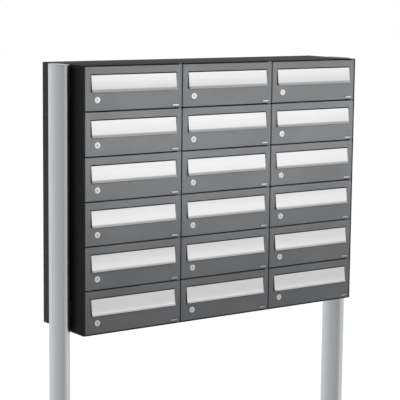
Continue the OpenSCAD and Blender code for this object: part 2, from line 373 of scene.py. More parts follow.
def plated(name, colour, gloss, scale, evenness=0.85, metallic=1.0, painted_shade_from=None):
    """Plated metal: cloudy patches, fine scratches, and, when a depth is given, painted shade that turns
    near black on everything behind that depth.
    """
    metal = Finish(name, metallic=metallic, roughness=gloss)
    patch = metal.node("ShaderNodeTexVoronoi", {}, {"Vector": metal.place, "Scale": scale}, output="Color")
    patch = metal.node("ShaderNodeSeparateColor", {}, {"Color": patch})
    scratch = metal.noise(1.0, 3.0, metal.stretched(900.0, 60.0, 900.0))
    shade = metal.blend(patch, scaled(colour, evenness), colour)
    # Painted shade: behind the given depth the colour ramps to near black, standing in for the shadow inside
    # the keyway.
    if painted_shade_from is not None:
        inside = metal.axis("Y").ramp(painted_shade_from, painted_shade_from + 1.2 * MM)
        shade = metal.blend(inside, shade, grey(0.02))
    metal.set("Base Color", shade)
    metal.set("Roughness", patch * 0.08 + scratch.ramp(0.3, 0.8, gloss - 0.04, gloss + 0.08))
    metal.relief(scratch, 0.000015)
    return metal.material


def moulded(name, colour, gloss):
    """Moulded plastic or rubber: a faint matt grain."""
    skin = Finish(name, roughness=gloss)
    grain = skin.noise(1800.0, 2.0)
    cloud = skin.noise(40.0, 2.0)
    skin.set("Base Color", skin.blend(cloud, scaled(colour, 0.88), colour))
    skin.set("Roughness", grain.ramp(0.3, 0.7, gloss - 0.05, gloss + 0.08))
    skin.relief(grain, 0.00003)
    return skin.material


DOOR_PAINT = powder_coat("door_powder_coat", grey(0.185, (0.955, 1.0, 1.035)), 0.15, 0.42, 900.0)
CASING_PAINT = powder_coat("casing_powder_coat", grey(0.010, (1.0, 0.97, 0.97)), 0.25, 0.55, 700.0, 0.28)
INNER_PAINT = powder_coat("inner_powder_coat", grey(0.011), 0.1, 0.6, 700.0, 0.25)
FLAP_METAL = drawn_aluminium("flap_aluminium", grey(0.93, (1.0, 0.985, 0.99)), "X", 0.34)
POST_METAL = drawn_aluminium("post_aluminium", grey(0.78, (0.945, 0.98, 1.0)), "Z", 0.32)
PLATE_METAL = drawn_aluminium("fitting_aluminium", grey(0.70, (0.97, 0.985, 1.0)), "X", 0.42)
LOCK_METAL = plated("lock_nickel", grey(1.0, (1.0, 0.995, 0.985)), 0.3, 300.0, 0.95, 0.55)
# The plug's keyway walls and its body behind the face are painted near black as shade.
PLUG_METAL = plated("plug_nickel", grey(0.86, (1.0, 0.99, 0.98)), 0.32, 300.0, 0.92, 0.6,
                    front_y - COLLAR_T - 0.2 * MM)
ZINC = plated("zinc_plate", grey(0.55, (1.0, 0.99, 0.95)), 0.34, 220.0)
STAINLESS = plated("stainless_steel", grey(0.6), 0.3, 400.0)
RUBBER = moulded("buffer_rubber", grey(0.02), 0.7)
HOLDER_PLASTIC = moulded("holder_plastic", grey(0.03), 0.45)
BLANK_PLASTIC = moulded("blank_plate_plastic", grey(0.62), 0.35)
WELD = plated("weld_aluminium", grey(0.5), 0.45, 700.0)

# ---------------------------------------------------------------- mesh tools


def arc(centre, radius, start, end, steps):
    """Points along an arc, angles in degrees, both ends included."""
    angles = [math.radians(start + (end - start) * k / steps) for k in range(steps + 1)]
    return [(centre[0] + radius * math.cos(a), centre[1] + radius * math.sin(a)) for a in angles]


def circle(centre, radius, steps=32):
    return arc(centre, radius, 0, 360, steps)[:-1]


def rounded_rectangle(low, high, radius, steps=4):
    """Anticlockwise outline of a rectangle with rounded corners."""
    corners = ((high[0], high[1], 0), (low[0], high[1], 90), (low[0], low[1], 180), (high[0], low[1], 270))
    points = []
    for x, y, start in corners:
        centre = (x - math.copysign(radius, x - (low[0] + high[0]) / 2),
                  y - math.copysign(radius, y - (low[1] + high[1]) / 2))
        points += arc(centre, radius, start, start + 90, steps)
    return points


def along_x(u, v, w):
    return Vector((w, u, v))


def along_y(u, v, w):
    return Vector((u, w, v))


def along_z(u, v, w):
    return Vector((u, v, w))


def prism(outline, start, end, place, holes=()):
    """A straight bar: its outline and holes are drawn in two axes and run along the third."""
    bm = bmesh.new()
    rings = []
    for points in (outline, *holes):
        near = [bm.verts.new(place(u, v, start)) for u, v in points]
        far = [bm.verts.new(place(u, v, end)) for u, v in points]
        for k in range(len(points)):
            after = (k + 1) % len(points)
            bm.faces.new((near[k], near[after], far[after], far[k]))
        rings.append((near, far))
    for side in (0, 1):
        loops = [ring[side] for ring in rings]
        if len(loops) == 1:
            bm.faces.new(loops[0])
        else:
            edges = [bm.edges.get((loop[k - 1], loop[k])) for loop in loops for k in range(len(loop))]
            bmesh.ops.triangle_fill(bm, use_beauty=True, edges=edges)
    bmesh.ops.recalc_face_normals(bm, faces=bm.faces)
    return bm


def lathe(profile, centre, steps=40, place=along_y):
    """A turned piece: (radius, distance along the axis) points, spun round an axis through centre."""
    bm = bmesh.new()
    rings = []
    for radius, along in profile:
        points = [(0.0, 0.0)] if radius == 0 else circle((0.0, 0.0), radius, steps)
        rings.append([bm.verts.new(centre + place(u, v, along)) for u, v in points])
    for one, other in zip(rings, rings[1:]):
        for k in range(steps):
            after = (k + 1) % steps
            sides = ((one, k), (one, after), (other, after), (other, k))
            corners = [ring[step % len(ring)] for ring, step in sides]
            unique = list(dict.fromkeys(corners))
            if len(unique) > 2:
                bm.faces.new(unique)
    bmesh.ops.recalc_face_normals(bm, faces=bm.faces)
    return bm


def join(*parts):
    """Several bmeshes as one."""
    whole = bmesh.new()
    for part in parts:
        loose = bpy.data.meshes.new("loose")
        part.to_mesh(loose)
        whole.from_mesh(loose)
        part.free()
        bpy.data.meshes.remove(loose)
    return whole


SHARP_ANGLE = math.radians(32)


def smoothed(mesh):
    """The mesh, shaded smooth apart from its real edges."""
    for face in mesh.polygons:
        face.use_smooth = True
    mesh.set_sharp_from_angle(angle=SHARP_ANGLE)
    return mesh


def settled(bm, thickness=0.0, round_edge=0.0, steps=2, sharper_than=35):
    """The mesh of a bmesh after it has been given a wall and had its edges rounded."""
    mesh = bpy.data.meshes.new("part")
    bm.to_mesh(mesh)
    bm.free()
    holder = bpy.data.objects.new("holder", mesh)
    bpy.context.scene.collection.objects.link(holder)
    if thickness:
        wall = holder.modifiers.new("Wall", "SOLIDIFY")
        wall.thickness = thickness
        wall.offset = -1
        wall.use_even_offset = True
    if round_edge:
        edge = holder.modifiers.new("Edges", "BEVEL")
        edge.width = round_edge
        edge.segments = steps
        edge.limit_method = "ANGLE"
        edge.angle_limit = math.radians(sharper_than)
        edge.use_clamp_overlap = True
    evaluated = holder.evaluated_get(bpy.context.evaluated_depsgraph_get())
    done = bpy.data.meshes.new_from_object(evaluated)
    bpy.data.objects.remove(holder)
    bpy.data.meshes.remove(mesh)
    return smoothed(done)


def drilled(mesh, x, y, radius, low, high):
    """The mesh with a round hole through it along Z, from low to high."""
    profile = [(0, low), (radius, low), (radius, high), (0, high)]
    drill = lathe(profile, Vector((x, y, 0)), 24, place=along_z)
    cutter = bpy.data.objects.new("cutter", bpy.data.meshes.new("cutter"))
    drill.to_mesh(cutter.data)
    drill.free()
    holder = bpy.data.objects.new("holder", mesh)
    for item in (cutter, holder):
        bpy.context.scene.collection.objects.link(item)
    hole = holder.modifiers.new("Hole", "BOOLEAN")
    hole.operation = "DIFFERENCE"
    hole.solver = "EXACT"
    hole.object = cutter
    bpy.context.view_layer.update()
    done = bpy.data.meshes.new_from_object(holder.evaluated_get(bpy.context.evaluated_depsgraph_get()))
    for item in (cutter, holder):
        bpy.data.objects.remove(item)
    return smoothed(done)


def show(name, mesh, material, body, stands_for=()):
    """Puts a finished mesh into the scene as a piece of the object."""
    mesh.name = name
    mesh.materials.clear()
    mesh.materials.append(material)
    piece = bpy.data.objects.new(name, mesh)
    bpy.context.scene.collection.objects.link(piece)
    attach(piece, body)
    if stands_for:
        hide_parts(*stands_for)
    return piece


def for_every_box(kind, mesh, material, body_kind, stands_for=None):
    """Copies a mesh in box coordinates to all the boxes, each riding on its own body."""
    for box in boxes:
        copy = mesh.copy()
        copy.transform(Matrix.Translation(box_origin(box)))
        nodes = (f"{stands_for}_{box}",) if stands_for else ()
        show(f"{kind}_{box}", copy, material, f"{body_kind}_{box}", nodes)
    bpy.data.meshes.remove(mesh)


# ---------------------------------------------------------------- repeats by Geometry Nodes


def new_tree(name, inputs):
    """A Geometry Nodes tree with named inputs, and a function that gives each of them as a value."""
    tree = bpy.data.node_groups.new(name, "GeometryNodeTree")
    tree.interface.new_socket(name="Geometry", in_out="OUTPUT", socket_type="NodeSocketGeometry")
    for label, kind in inputs:
        tree.interface.new_socket(name=label, in_out="INPUT", socket_type="NodeSocket" + kind)
    entry = tree.nodes.new("NodeGroupInput")

    def given(label):
        return Field(tree, entry.outputs[label])

    return tree, given


def end_tree(tree, given, copies):
    """Ends a tree: its instances become real, and get their material."""
    real = add_node(tree, "GeometryNodeRealizeInstances", {}, {0: copies})
    painted = add_node(
        tree, "GeometryNodeSetMaterial", {}, {"Geometry": real, "Material": given("Material")}
    )
    tree.links.new(painted.socket, tree.nodes.new("NodeGroupOutput").inputs[0])
    return tree


def repeat_tree():
    """Copies of a part on a grid of points in the X-Z plane, as one mesh."""
    tree, given = new_tree("Copies on a grid", (
        ("Part", "Object"), ("Across", "Int"), ("Up", "Int"),
        ("Step across", "Float"), ("Step up", "Float"), ("Material", "Material"),
    ))
    part = add_node(
        tree, "GeometryNodeObjectInfo", {}, {"Object": given("Part")}, output="Geometry"
    )
    up = add_node(tree, "ShaderNodeCombineXYZ", {}, {"Z": given("Step up")})
    across = add_node(tree, "ShaderNodeCombineXYZ", {}, {"X": given("Step across")})
    column = add_node(tree, "GeometryNodeMeshLine", {}, {"Count": given("Up"), "Offset": up})
    row = add_node(tree, "GeometryNodeMeshLine", {}, {"Count": given("Across"), "Offset": across})
    stack = add_node(tree, "GeometryNodeInstanceOnPoints", {}, {"Points": column, "Instance": part})
    stacks = add_node(tree, "GeometryNodeInstanceOnPoints", {}, {"Points": row, "Instance": stack})
    return end_tree(tree, given, stacks)


def bead_tree():
    """A weld: overlapping drops of slightly different sizes that follow a closed line of points."""
    tree, given = new_tree("Weld bead", (
        ("Path", "Geometry"), ("Spacing", "Float"), ("Drop radius", "Float"), ("Seed", "Int"),
        ("Material", "Material"),
    ))
    line = add_node(tree, "GeometryNodeMeshToCurve", {}, {0: given("Path")})
    points = add_node(
        tree, "GeometryNodeCurveToPoints", {"mode": "LENGTH"}, {"Curve": line, "Length": given("Spacing")}
    )
    drop = add_node(
        tree, "GeometryNodeMeshIcoSphere", {}, {"Radius": given("Drop radius"), "Subdivisions": 2}
    )
    size = add_node(
        tree, "FunctionNodeRandomValue", {"data_type": "FLOAT"},
        {2: 0.85, 3: 1.15, "Seed": given("Seed")}, output=1,
    )
    drops = add_node(
        tree, "GeometryNodeInstanceOnPoints", {}, {"Points": points, "Instance": drop, "Scale": size}
    )
    return end_tree(tree, given, drops)


REPEAT = repeat_tree()
BEAD = bead_tree()


def run_tree(tree, values, base=None):
    """The plain mesh that a tree makes from its named inputs."""
    mesh = base or bpy.data.meshes.new("empty")
    holder = bpy.data.objects.new("holder", mesh)
    bpy.context.scene.collection.objects.link(holder)
    modifier = holder.modifiers.new("Nodes", "NODES")
    modifier.node_group = tree
    for item in tree.interface.items_tree:
        if item.in_out == "INPUT" and item.name in values:
            modifier[item.identifier] = values[item.name]
    bpy.context.view_layer.update()
    evaluated = holder.evaluated_get(bpy.context.evaluated_depsgraph_get())
    done = bpy.data.meshes.new_from_object(evaluated)
    holder.modifiers.clear()
    bpy.data.objects.remove(holder)
    return done


def repeated(mesh, material, across=1, up=1, step_across=0.0, step_up=0.0):
    """A mesh copied on a grid, as one mesh."""
    part = bpy.data.objects.new("part", mesh)
    bpy.context.scene.collection.objects.link(part)
    done = run_tree(REPEAT, {
        "Part": part, "Across": across, "Up": up,
        "Step across": step_across, "Step up": step_up, "Material": material,
    })
    bpy.data.objects.remove(part)
    return smoothed(done)


# ---------------------------------------------------------------- doors


def aperture_outline():
    """The flap's opening, with two tabs for the buffers standing up from its lower edge."""
    corners = rounded_rectangle(
        (aperture_x, aperture_low), (aperture_x + aperture_w, aperture_top), 1.5 * MM
    )
    lower_edge = len(corners) * 3 // 4
    side = TAB_W / 2
    tabs = []
    for x in buffer_xs:
        tabs += [(x - side, aperture_low), (x - side, bend_z), (x + side, bend_z), (x + side, aperture_low)]
    return corners[:lower_edge] + tabs + corners[lower_edge:]


def door_panel():
    """A folded pan: front with the flap's aperture and the lock's hole, four edges turned back."""
    bm = bmesh.new()
    edge = DOOR_GAP / 2
    low, high = (edge, edge - pitch_z), (pitch_x - edge, -edge)
    outer = [(low[0], low[1]), (high[0], low[1]), (high[0], high[1]), (low[0], high[1])]
    loops = []
    for points in (outer, aperture_outline(), circle((lock.x, lock.z), BARREL_R, 32)):
        verts = [bm.verts.new((x, 0.0, z)) for x, z in points]
        loops.append([bm.edges.new((verts[k - 1], verts[k])) for k in range(len(verts))])
    bmesh.ops.triangle_fill(bm, use_beauty=True, edges=[e for loop in loops for e in loop])
    turned = bmesh.ops.extrude_edge_only(bm, edges=loops[0])["geom"]
    for vert in (v for v in turned if isinstance(v, bmesh.types.BMVert)):
        vert.co.y = DOOR_DEPTH
    corners = [e for e in bm.edges if abs(e.verts[0].co.y - e.verts[1].co.y) > DOOR_DEPTH / 2]
    bmesh.ops.bevel(
        bm, geom=loops[0] + corners, offset=FOLD_R, offset_type="OFFSET", segments=4,
        profile=0.5, affect="EDGES",
    )
    bmesh.ops.recalc_face_normals(bm, faces=bm.faces)
    front = max(bm.faces, key=lambda face: face.calc_area())
    if front.normal.y > 0:
        bmesh.ops.reverse_faces(bm, faces=bm.faces)
    pan = settled(bm, thickness=DOOR_SHEET, round_edge=0.2 * MM, steps=1, sharper_than=60)
    return drilled(pan, hinge.x, hinge.y, ROD_R + RUN, low[1] - 1 * MM, high[1] + 1 * MM)


def pin_and_brackets():
    """The flap's pin, with peened ends, in two small brackets behind the door's face."""
    bracket_x = aperture_x - BRACKET_GAP
    overhang = SHEET + 1 * MM
    ends = (bracket_x - overhang, pitch_x - bracket_x + overhang)
    profile = [(0, ends[0]), (PIN_R * 0.8, ends[0]), (PIN_R, ends[0] + 0.3 * MM),
               (PIN_R, ends[1] - 0.3 * MM), (PIN_R * 0.8, ends[1]), (0, ends[1])]
    rod = lathe(profile, Vector((0, pin.y, pin.z)), 20, place=along_x)
    outline = rounded_rectangle(
        (DOOR_SHEET, pin.z - BRACKET_HALF), (BRACKET_DEPTH, pin.z + BRACKET_HALF), 2 * MM
    )
    bore = circle((pin.y, pin.z), PIN_R + RUN, 20)
    sides = [prism(outline, x, x + SHEET, along_x, [bore])
             for x in (bracket_x - SHEET, pitch_x - bracket_x)]
    return settled(join(rod, *sides))


def lock_housing():
    """Lock housing: a rounded collar on the door's face and a threaded barrel behind it."""
    bore = PLUG_R + RUN
    profile = [
        (bore, BARREL_LEN), (bore, -COLLAR_T + 0.9 * MM), (PLUG_R + 1.0 * MM, -COLLAR_T),
        (COLLAR_R - 1.6 * MM, -COLLAR_T), (COLLAR_R - 0.8 * MM, -COLLAR_T + 0.25 * MM),
        (COLLAR_R - 0.2 * MM, -COLLAR_T + 0.9 * MM), (COLLAR_R, -COLLAR_T + 1.7 * MM), (COLLAR_R, 0),
        (BARREL_R, 0), (BARREL_R, 2.0 * MM),
    ]
    turns = 14
    for turn in range(turns):
        along = (2.0 + turn * (BARREL_LEN / MM - 3.0) / turns) * MM
        profile += [(BARREL_R - 0.45 * MM, along + 0.5 * MM), (BARREL_R, along + 1.0 * MM)]
    profile += [(BARREL_R - 0.6 * MM, BARREL_LEN), (bore, BARREL_LEN)]
    return settled(lathe(profile, Vector((lock.x, 0, lock.z)), 48))


def lock_nut():
    """Hexagon nut that clamps the housing to the door sheet."""
    outline = circle((lock.x, lock.z), NUT_R, 6)
    bore = circle((lock.x, lock.z), BARREL_R + RUN, 36)
    return settled(prism(outline, DOOR_SHEET, DOOR_SHEET + NUT_T, along_y, [bore]), round_edge=0.5 * MM)


def rubber_buffers():
    """Two dots on the aperture's tabs, behind the closed flap's lip."""
    height = FACE_LEAN - FACE_Y - FLAP_T - BUFFER_EASE
    profile = [(0, -height), (BUFFER_R - 0.8 * MM, -height), (BUFFER_R - 0.2 * MM, -height + 0.4 * MM),
               (BUFFER_R, 0), (0, 0)]
    z = bend_z - BUFFER_R - BUFFER_DOWN
    return settled(join(*(lathe(profile, Vector((x, 0, z)), 24) for x in buffer_xs)))


def plate_outline(inset):
    """Outline of the small plate near the door's lower right corner, made smaller all round by inset."""
    right = pitch_x - DOOR_GAP / 2 - TAG_RIGHT
    low = DOOR_GAP / 2 + TAG_UP - pitch_z
    corner = (right - TAG_W + inset, low + inset)
    return rounded_rectangle(corner, (right - inset, low + TAG_H - inset), 1 * MM)


def plate_holder():
    """Dark carrier with a shallow raised rim."""
    base = prism(plate_outline(0), -TAG_T / 2, -RUN, along_y)
    rim = prism(plate_outline(0), -TAG_T, -TAG_T / 2, along_y, [plate_outline(1.0 * MM)])
    return settled(join(base, rim), round_edge=0.15 * MM, steps=1)


def plate_insert():
    """Light strip in the carrier, with nothing written on it."""
    strip = prism(plate_outline(1.2 * MM), RUN - TAG_T, -TAG_T / 2, along_y)
    return settled(strip, round_edge=0.15 * MM)


# ---------------------------------------------------------------- flaps


def flap_outline():
    """The flap's section: a leaning face, a creased lip that curls out, and the knuckle at the top."""
    lean = math.atan(FACE_LEAN / FLAP_FACE_H)
    start = lean + LIP_KICK
    top = Vector((FACE_Y, -FLAP_TOP))
    bend = Vector((FACE_Y - FACE_LEAN, -FLAP_TOP - FLAP_FACE_H))
    run = LIP_OUT + bend.x
    radius = (run * run + LIP_H * LIP_H) / (2 * (run * math.cos(start) - LIP_H * math.sin(start)))
    end = math.asin(math.sin(start) + LIP_H / radius)
    back = FLAP_T * Vector((math.cos(lean), -math.sin(lean)))
    middle = (lean + start) / 2
    crease = bend + FLAP_T / math.cos(LIP_KICK / 2) * Vector((math.cos(middle), -math.sin(middle)))
    centre = bend - radius * Vector((math.cos(start), -math.sin(start)))
    degrees = (-math.degrees(start), -math.degrees(end))
    inner = arc(centre, radius, *degrees, 10)
    outer = arc(centre, radius + FLAP_T, *reversed(degrees), 10)
    tip_centre = centre + (radius + FLAP_T / 2) * Vector((math.cos(end), -math.sin(end)))
    tip = arc(tip_centre, FLAP_T / 2, 180 + degrees[1], 360 + degrees[1], 8)
    knuckle = (pin.y, pin.z)
    reach = math.degrees(math.acos((pin.y - (FACE_Y + FLAP_T)) / KNUCKLE_R)) - 1
    round_back = arc(knuckle, KNUCKLE_R, -180 + reach, 180 - reach, 20)
    corner = top + back
    shoulder = [(corner.x, corner.y - 0.4 * MM), (corner.x - 0.4 * MM, corner.y + 0.04 * MM)]
    crown = [(top.x + 0.3 * MM, top.y + 0.02 * MM), (top.x, top.y - 0.3 * MM)]
    return [tuple(p) for p in (*crown, *inner, *tip[1:-1], *outer[:-1], crease, *round_back, *shoulder)]


def flap_panel():
    start = aperture_x + APERTURE_GAP
    bore = circle((pin.y, pin.z), PIN_R + RUN, 20)
    section = prism(flap_outline(), start, start + FLAP_W, along_x, [bore])
    return settled(section, round_edge=0.12 * MM, steps=1, sharper_than=70)


# ---------------------------------------------------------------- lock plugs


def lock_plug():
    """The turning plug, with its upright keyway."""
    face = -COLLAR_T - PLUG_PROUD
    corner = (KEYWAY_W / 2, KEYWAY_H / 2)
    slot = rounded_rectangle((-corner[0], -corner[1]), corner, 1.0 * MM, 3)
    slot = [(lock.x + u, lock.z + v) for u, v in slot]
    outer = circle((lock.x, lock.z), PLUG_R, 40)
    floor = face + KEYWAY_DEEP
    front = prism(outer, face, floor, along_y, [slot])
    profile = [(0, floor), (PLUG_R, floor), (PLUG_R, PLUG_LEN - 0.4 * MM),
               (PLUG_R - 0.4 * MM, PLUG_LEN), (0, PLUG_LEN)]
    body = lathe(profile, Vector((lock.x, 0, lock.z)), 40)
    return settled(join(front, body), round_edge=0.25 * MM, steps=2, sharper_than=60)


def lock_cam():
    """A flat tongue with a round end, which hangs down while the lock is open."""
    half = CAM_W / 2
    tongue = [(-half, -CAM_LEN + 3 * MM), (-half + 3 * MM, -CAM_LEN), (half - 3 * MM, -CAM_LEN),
              (half, -CAM_LEN + 3 * MM)]
    outline = [(lock.x + u, lock.z + v) for u, v in tongue + arc((0, 0), half, 0, 180, 14)]
    bore = circle((lock.x, lock.z), SCREW_R + RUN, 20)
    return settled(prism(outline, PLUG_LEN, PLUG_LEN + CAM_T, along_y, [bore]), round_edge=0.3 * MM)


def cam_screw():
    """Pan-head screw with a round socket that holds the cam on the plug."""
    head = PLUG_LEN + CAM_T
    tip = head + SCREW_HEAD_H
    socket_r, floor = 2 * MM, tip - 1.8 * MM
    profile = [(0, PLUG_LEN), (SCREW_R, PLUG_LEN), (SCREW_R, head), (SCREW_HEAD_R, head),
               (SCREW_HEAD_R, tip - 0.8 * MM), (SCREW_HEAD_R - 0.8 * MM, tip),
               (socket_r, tip), (socket_r, floor), (0, floor)]
    return settled(lathe(profile, Vector((lock.x, 0, lock.z)), 24))


# ---------------------------------------------------------------- casing


def plate(low, high, round_edge=0.4 * MM):
    """A flat sheet between two corners, with its cut edges taken off."""
    bm = bmesh.new()
    bmesh.ops.create_cube(bm, size=1.0)
    middle, span = (Vector(low) + Vector(high)) / 2, Vector(high) - Vector(low)
    for vert in bm.verts:
        vert.co = Vector((middle[k] + vert.co[k] * span[k] for k in range(3)))
    return settled(bm, round_edge=min(round_edge, min(span) * 0.45))


def build_casing():
    left, right = casing_low.x, casing_high.x
    bottom, top = casing_low.z, casing_high.z
    panels = {
        "roof_panel": ((left, casing_low.y, top - SHEET), (right, back_y, top)),
        "floor_panel": ((left, casing_low.y, bottom), (right, back_y, bottom + SHEET)),
        "back_panel": ((left + SHEET, back_y - SHEET, bottom + SHEET), (right - SHEET, back_y, top - SHEET)),
    }
    for name, (low, high) in panels.items():
        stands_for = ("casing",) if name == "roof_panel" else ()
        show(name, plate(low, high, 0.25 * MM), CASING_PAINT, "cabinet", stands_for)
    for side, x, name in ((1, left, "left_side_panel"), (-1, right, "right_side_panel")):
        front = casing_low.y
        outline = [(x, back_y), (x, front), (x + side * SIDE_RETURN, front),
                   (x + side * SIDE_RETURN, front + SHEET), (x + side * SHEET, front + SHEET),
                   (x + side * SHEET, back_y)]
        panel = settled(prism(outline, bottom + SHEET, top - SHEET, along_z), round_edge=0.25 * MM)
        show(name, panel, CASING_PAINT, "cabinet")


def rivet_dome():
    """A low round rivet head, facing +X, with its middle at the origin."""
    profile = [(0, 1.2 * MM), (1.4 * MM, 1.1 * MM), (2.6 * MM, 0.75 * MM), (3.3 * MM, 0.25 * MM),
               (3.5 * MM, 0), (0, 0)]
    return settled(lathe(profile, Vector((0, 0, 0)), 20, place=along_x))


def build_rivets():
    """A rivet just above each row's lower line and one under the roof, on both sides."""
    y = front_y + RIVET_BACK
    for side, name in ((-1, "left"), (1, "right")):
        x = casing_low.x if side < 0 else casing_high.x
        turn = Matrix.Rotation(math.pi if side < 0 else 0, 4, "Z")
        head = rivet_dome()
        head.transform(turn)
        lower = repeated(head, CASING_PAINT, 1, rows, 0.0, pitch_z)
        lower.transform(Matrix.Translation((x, y, first.z - rows * pitch_z + RIVET_UP)))
        show(f"{name}_rivets", lower, CASING_PAINT, "cabinet")
        head = rivet_dome()
        head.transform(Matrix.Translation((x, y, casing_high.z - RIVET_DOWN)) @ turn)
        show(f"{name}_top_rivet", head, CASING_PAINT, "cabinet")


def build_inside():
    """Partitions between the columns and shelves between the rows."""
    line_xs = [first.x + c * pitch_x for c in range(columns + 1)]
    wall_low, wall_high = casing_low.z + SHEET, casing_high.z - SHEET
    wall = plate((-SHEET / 2, shelf_y, wall_low), (SHEET / 2, back_y - SHEET, wall_high))
    walls = repeated(wall, INNER_PAINT, columns - 1, 1, pitch_x, 0.0)
    walls.transform(Matrix.Translation((line_xs[1], 0, 0)))
    show("partitions", walls, INNER_PAINT, "cabinet", ("dividers",))
    shelf = plate((SHEET / 2, shelf_y, -SHEET / 2), (pitch_x - SHEET / 2, back_y - SHEET, SHEET / 2))
    shelves = repeated(shelf, INNER_PAINT, columns, rows - 1, pitch_x, pitch_z)
    shelves.transform(Matrix.Translation((line_xs[0], 0, first.z - (rows - 1) * pitch_z)))
    show("shelves", shelves, INNER_PAINT, "cabinet")


def build_hinges():
    """Hinge rods and the lugs that carry them between the doors."""
    length = casing_high.z - casing_low.z - 2 * SHEET
    axis = (first.x + hinge.x, front_y + hinge.y)
    profile = [(0, 0), (ROD_R - 0.3 * MM, 0), (ROD_R, 0.4 * MM), (ROD_R, length - 0.4 * MM),
               (ROD_R - 0.3 * MM, length), (0, length)]
    rod = settled(lathe(profile, Vector((0, 0, 0)), 24, place=along_z))
    rods = repeated(rod, ZINC, columns, 1, pitch_x, 0.0)
    rods.transform(Matrix.Translation((*axis, casing_low.z + SHEET)))
    show("hinge_rods_turned", rods, ZINC, "cabinet", ("hinge_rods",))
    lug_low, lug_high = DOOR_PROUD - hinge.y, shelf_y - front_y - hinge.y
    outline = [(LUG_HALF, lug_high), (-LUG_HALF, lug_high),
               *arc((0, lug_low + LUG_R), LUG_R, 180, 360, 10)]
    bore = circle((0, 0), ROD_R + RUN, 20)
    lug = settled(prism(outline, -LUG_T / 2, LUG_T / 2, along_z, [bore]), round_edge=0.2 * MM)
    lugs = repeated(lug, ZINC, columns, rows - 1, pitch_x, pitch_z)
    lugs.transform(Matrix.Translation((*axis, first.z - (rows - 1) * pitch_z)))
    show("hinge_lugs", lugs, ZINC, "cabinet")
    lug = settled(prism(outline, 0, END_LUG_T, along_z, [bore]), round_edge=0.2 * MM)
    end_lugs = repeated(lug, ZINC, columns, 2, pitch_x, length - END_LUG_T)
    end_lugs.transform(Matrix.Translation((*axis, casing_low.z + SHEET)))
    show("hinge_end_lugs", end_lugs, ZINC, "cabinet")


def build_keeps():
    """The plates behind the doors' left edges that the cams turn behind."""
    outline = rounded_rectangle((0, -KEEP_HALF), (KEEP_W, KEEP_HALF), 2 * MM)
    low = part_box("lock_keeps")[0]
    middle_z = low.z + KEEP_HALF
    keep = settled(prism(outline, 0, SHEET, along_y), round_edge=0.2 * MM)
    keeps = repeated(keep.copy(), ZINC, 1, rows, 0.0, pitch_z)
    keeps.transform(Matrix.Translation((low.x, shelf_y, middle_z)))
    show("keeps_left", keeps, ZINC, "cabinet", ("lock_keeps",))
    others = repeated(keep, ZINC, columns - 1, rows, pitch_x, pitch_z)
    others.transform(Matrix.Translation((first.x + pitch_x + SHEET / 2, shelf_y, middle_z)))
    show("keeps_inner", others, ZINC, "cabinet")


# ---------------------------------------------------------------- posts


def post_outline(inset=0.0):
    """The oval, made smaller all round by inset; its arcs are tangent where they meet."""
    turn = math.degrees(math.asin(post_end / (post_side_r - POST_END_R)))
    offset = post_side_r - post_half
    right = arc((-offset, 0), post_side_r - inset, -turn, turn, 20)
    back = arc((0, post_end), POST_END_R - inset, turn, 180 - turn, 20)
    left = arc((offset, 0), post_side_r - inset, 180 - turn, 180 + turn, 20)
    front = arc((0, -post_end), POST_END_R - inset, 180 + turn, 360 - turn, 20)
    return right + back[1:-1] + left + front[1:-1]


def weld_path():
    """A closed line round the foot of a post."""
    ring = bmesh.new()
    verts = [ring.verts.new((x, y, BASE_T + 1 * MM)) for x, y in post_outline(-1 * MM)]
    for k in range(len(verts)):
        ring.edges.new((verts[k - 1], verts[k]))
    path = bpy.data.meshes.new("weld_path")
    ring.to_mesh(path)
    ring.free()
    return path


def build_posts():
    """Two tubes with their caps, base plates and foot welds."""
    top = casing_high.z
    corner = (BASE_W / 2, (posts_high.y - posts_low.y) / 2)
    plate_edge = rounded_rectangle((-corner[0], -corner[1]), corner, BASE_CORNER, 6)
    holes = [circle((x * ANCHOR_X / 2, y * ANCHOR_Y / 2), ANCHOR_R) for x in (-1, 1) for y in (-1, 1)]
    for side, name in ((-1, "left"), (1, "right")):
        move = Matrix.Translation((side * post_x, post_y, 0))
        tube = settled(prism(post_outline(), BASE_T, top - CAP_T, along_z, [post_outline(POST_WALL)]))
        cap = settled(prism(post_outline(), top - CAP_T, top, along_z), round_edge=0.8 * MM, steps=3)
        base = settled(prism(plate_edge, 0, BASE_T, along_z, holes), round_edge=0.8 * MM)
        bead = run_tree(
            BEAD, {"Spacing": 2.6 * MM, "Drop radius": 3 * MM, "Seed": 4, "Material": WELD}, weld_path()
        )
        for face in bead.polygons:
            face.use_smooth = True
        for part in (tube, cap, base, bead):
            part.transform(move)
        stands_for = ("posts",) if side < 0 else ()
        show(f"{name}_post", tube, POST_METAL, "cabinet", stands_for)
        show(f"{name}_post_cap", cap, POST_METAL, "cabinet")
        show(f"{name}_base_plate", base, PLATE_METAL, "cabinet")
        show(f"{name}_foot_weld", bead, WELD, "cabinet")


